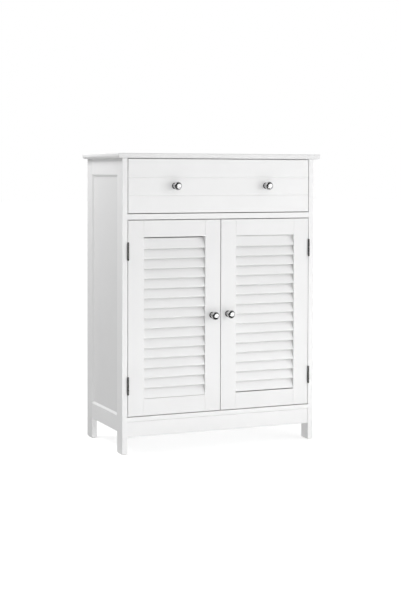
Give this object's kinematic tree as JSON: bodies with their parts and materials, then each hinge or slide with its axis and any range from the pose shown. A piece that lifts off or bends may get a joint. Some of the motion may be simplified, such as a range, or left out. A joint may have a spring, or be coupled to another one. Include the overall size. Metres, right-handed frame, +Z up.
{
  "type": "louvred door cabinet",
  "caption": "Small white cabinet on legs: a drawer with grooved front above a cupboard with hinged louvred doors, recessed side panels, a rounded top and round chrome knobs",
  "frame": {"origin": "centre of the bottom of the whole cabinet's box, knobs included, on the floor", "axes": "+X to the right of a person facing the doors, +Y to the back, +Z up"},
  "size_m": [0.6, 0.317, 0.8],
  "materials": {
    "painted_board": "satin white paint on board",
    "hardboard": "white faced thin fibreboard",
    "knob_metal": "polished",
    "hinge_metal": "satin nickel",
    "plate_steel": "zinc plated",
    "screw_steel": "zinc plated",
    "runner_steel": "white powder coat",
    "roller_plastic": "moulded",
    "white_plastic": "moulded",
    "magnet": "sintered",
    "dowel_wood": "bare beech"
  },
  "bodies": {
    "carcass": {"back_panel": "hardboard", "cam_fittings": "screw_steel", "carcass_screws": "screw_steel", "catch_magnets": "magnet", "divider_board": "painted_board", "dowels": "dowel_wood", "floor_board": "painted_board", "foot_glides": "white_plastic", "frame_hinge_leaves": "hinge_metal", "front_apron": "painted_board", "hinge_pins": "hinge_metal", "left_front_post": "painted_board", "left_lower_rail": "painted_board", "left_rear_post": "painted_board", "left_runner_channel": "runner_steel", "left_side_panel": "painted_board", "left_upper_rail": "painted_board", "magnetic_catch": "white_plastic", "right_front_post": "painted_board", "right_lower_rail": "painted_board", "right_rear_post": "painted_board", "right_runner_channel": "runner_steel", "right_side_panel": "painted_board", "right_upper_rail": "painted_board", "shelf": "painted_board", "shelf_pins": "screw_steel", "side_beading": "painted_board", "top_board": "painted_board"},
    "left_door": {"left_door_bottom_rail": "painted_board", "left_door_hinge_leaves": "hinge_metal", "left_door_inner_stile": "painted_board", "left_door_knob": "knob_metal", "left_door_outer_stile": "painted_board", "left_door_screws": "screw_steel", "left_door_slats": "painted_board", "left_door_strike_plate": "plate_steel", "left_door_top_rail": "painted_board"},
    "left_front_roller": {"left_front_roller": "roller_plastic"},
    "left_rear_roller": {"left_rear_roller": "roller_plastic"},
    "right_door": {"right_door_bottom_rail": "painted_board", "right_door_hinge_leaves": "hinge_metal", "right_door_inner_stile": "painted_board", "right_door_knob": "knob_metal", "right_door_outer_stile": "painted_board", "right_door_screws": "screw_steel", "right_door_slats": "painted_board", "right_door_strike_plate": "plate_steel", "right_door_top_rail": "painted_board"},
    "right_front_roller": {"right_front_roller": "roller_plastic"},
    "right_rear_roller": {"right_rear_roller": "roller_plastic"},
    "drawer": {"drawer_back": "painted_board", "drawer_bottom": "hardboard", "drawer_fixings": "screw_steel", "drawer_front": "painted_board", "drawer_knobs": "knob_metal", "drawer_left_side": "painted_board", "drawer_right_side": "painted_board", "left_runner_angle": "runner_steel", "right_runner_angle": "runner_steel"}
  },
  "joints": [
    {"name": "drawer_slide", "type": "slide", "parent": "carcass", "child": "drawer", "axis": [0, -1, 0], "range_m": [0, 0.18]},
    {"name": "left_door_hinge", "type": "hinge", "parent": "carcass", "child": "left_door", "pos_m": [-0.26925, -0.1313, 0.36125], "axis": [0, 0, -1], "range_deg": [0, 180]},
    {"name": "right_door_hinge", "type": "hinge", "parent": "carcass", "child": "right_door", "pos_m": [0.26925, -0.1313, 0.36125], "axis": [0, 0, 1], "range_deg": [0, 180]},
    {"name": "left_front_roller_spin", "type": "hinge", "parent": "carcass", "child": "left_front_roller", "pos_m": [-0.26525, -0.0995, 0.654], "axis": [1, 0, 0], "range_deg": [0, 1290]},
    {"name": "left_rear_roller_spin", "type": "hinge", "parent": "drawer", "child": "left_rear_roller", "pos_m": [-0.26225, 0.1195, 0.6505], "axis": [1, 0, 0], "range_deg": [0, 1214]},
    {"name": "right_front_roller_spin", "type": "hinge", "parent": "carcass", "child": "right_front_roller", "pos_m": [0.26525, -0.0995, 0.654], "axis": [1, 0, 0], "range_deg": [0, 1290]},
    {"name": "right_rear_roller_spin", "type": "hinge", "parent": "drawer", "child": "right_rear_roller", "pos_m": [0.26225, 0.1195, 0.6505], "axis": [1, 0, 0], "range_deg": [0, 1214]}
  ],
  "couplings": [
    {"joint": "left_front_roller_spin", "follows": "drawer_slide", "rad_per_m": 125},
    {"joint": "left_rear_roller_spin", "follows": "drawer_slide", "rad_per_m": 117.65},
    {"joint": "right_front_roller_spin", "follows": "drawer_slide", "rad_per_m": 125},
    {"joint": "right_rear_roller_spin", "follows": "drawer_slide", "rad_per_m": 117.65}
  ]
}
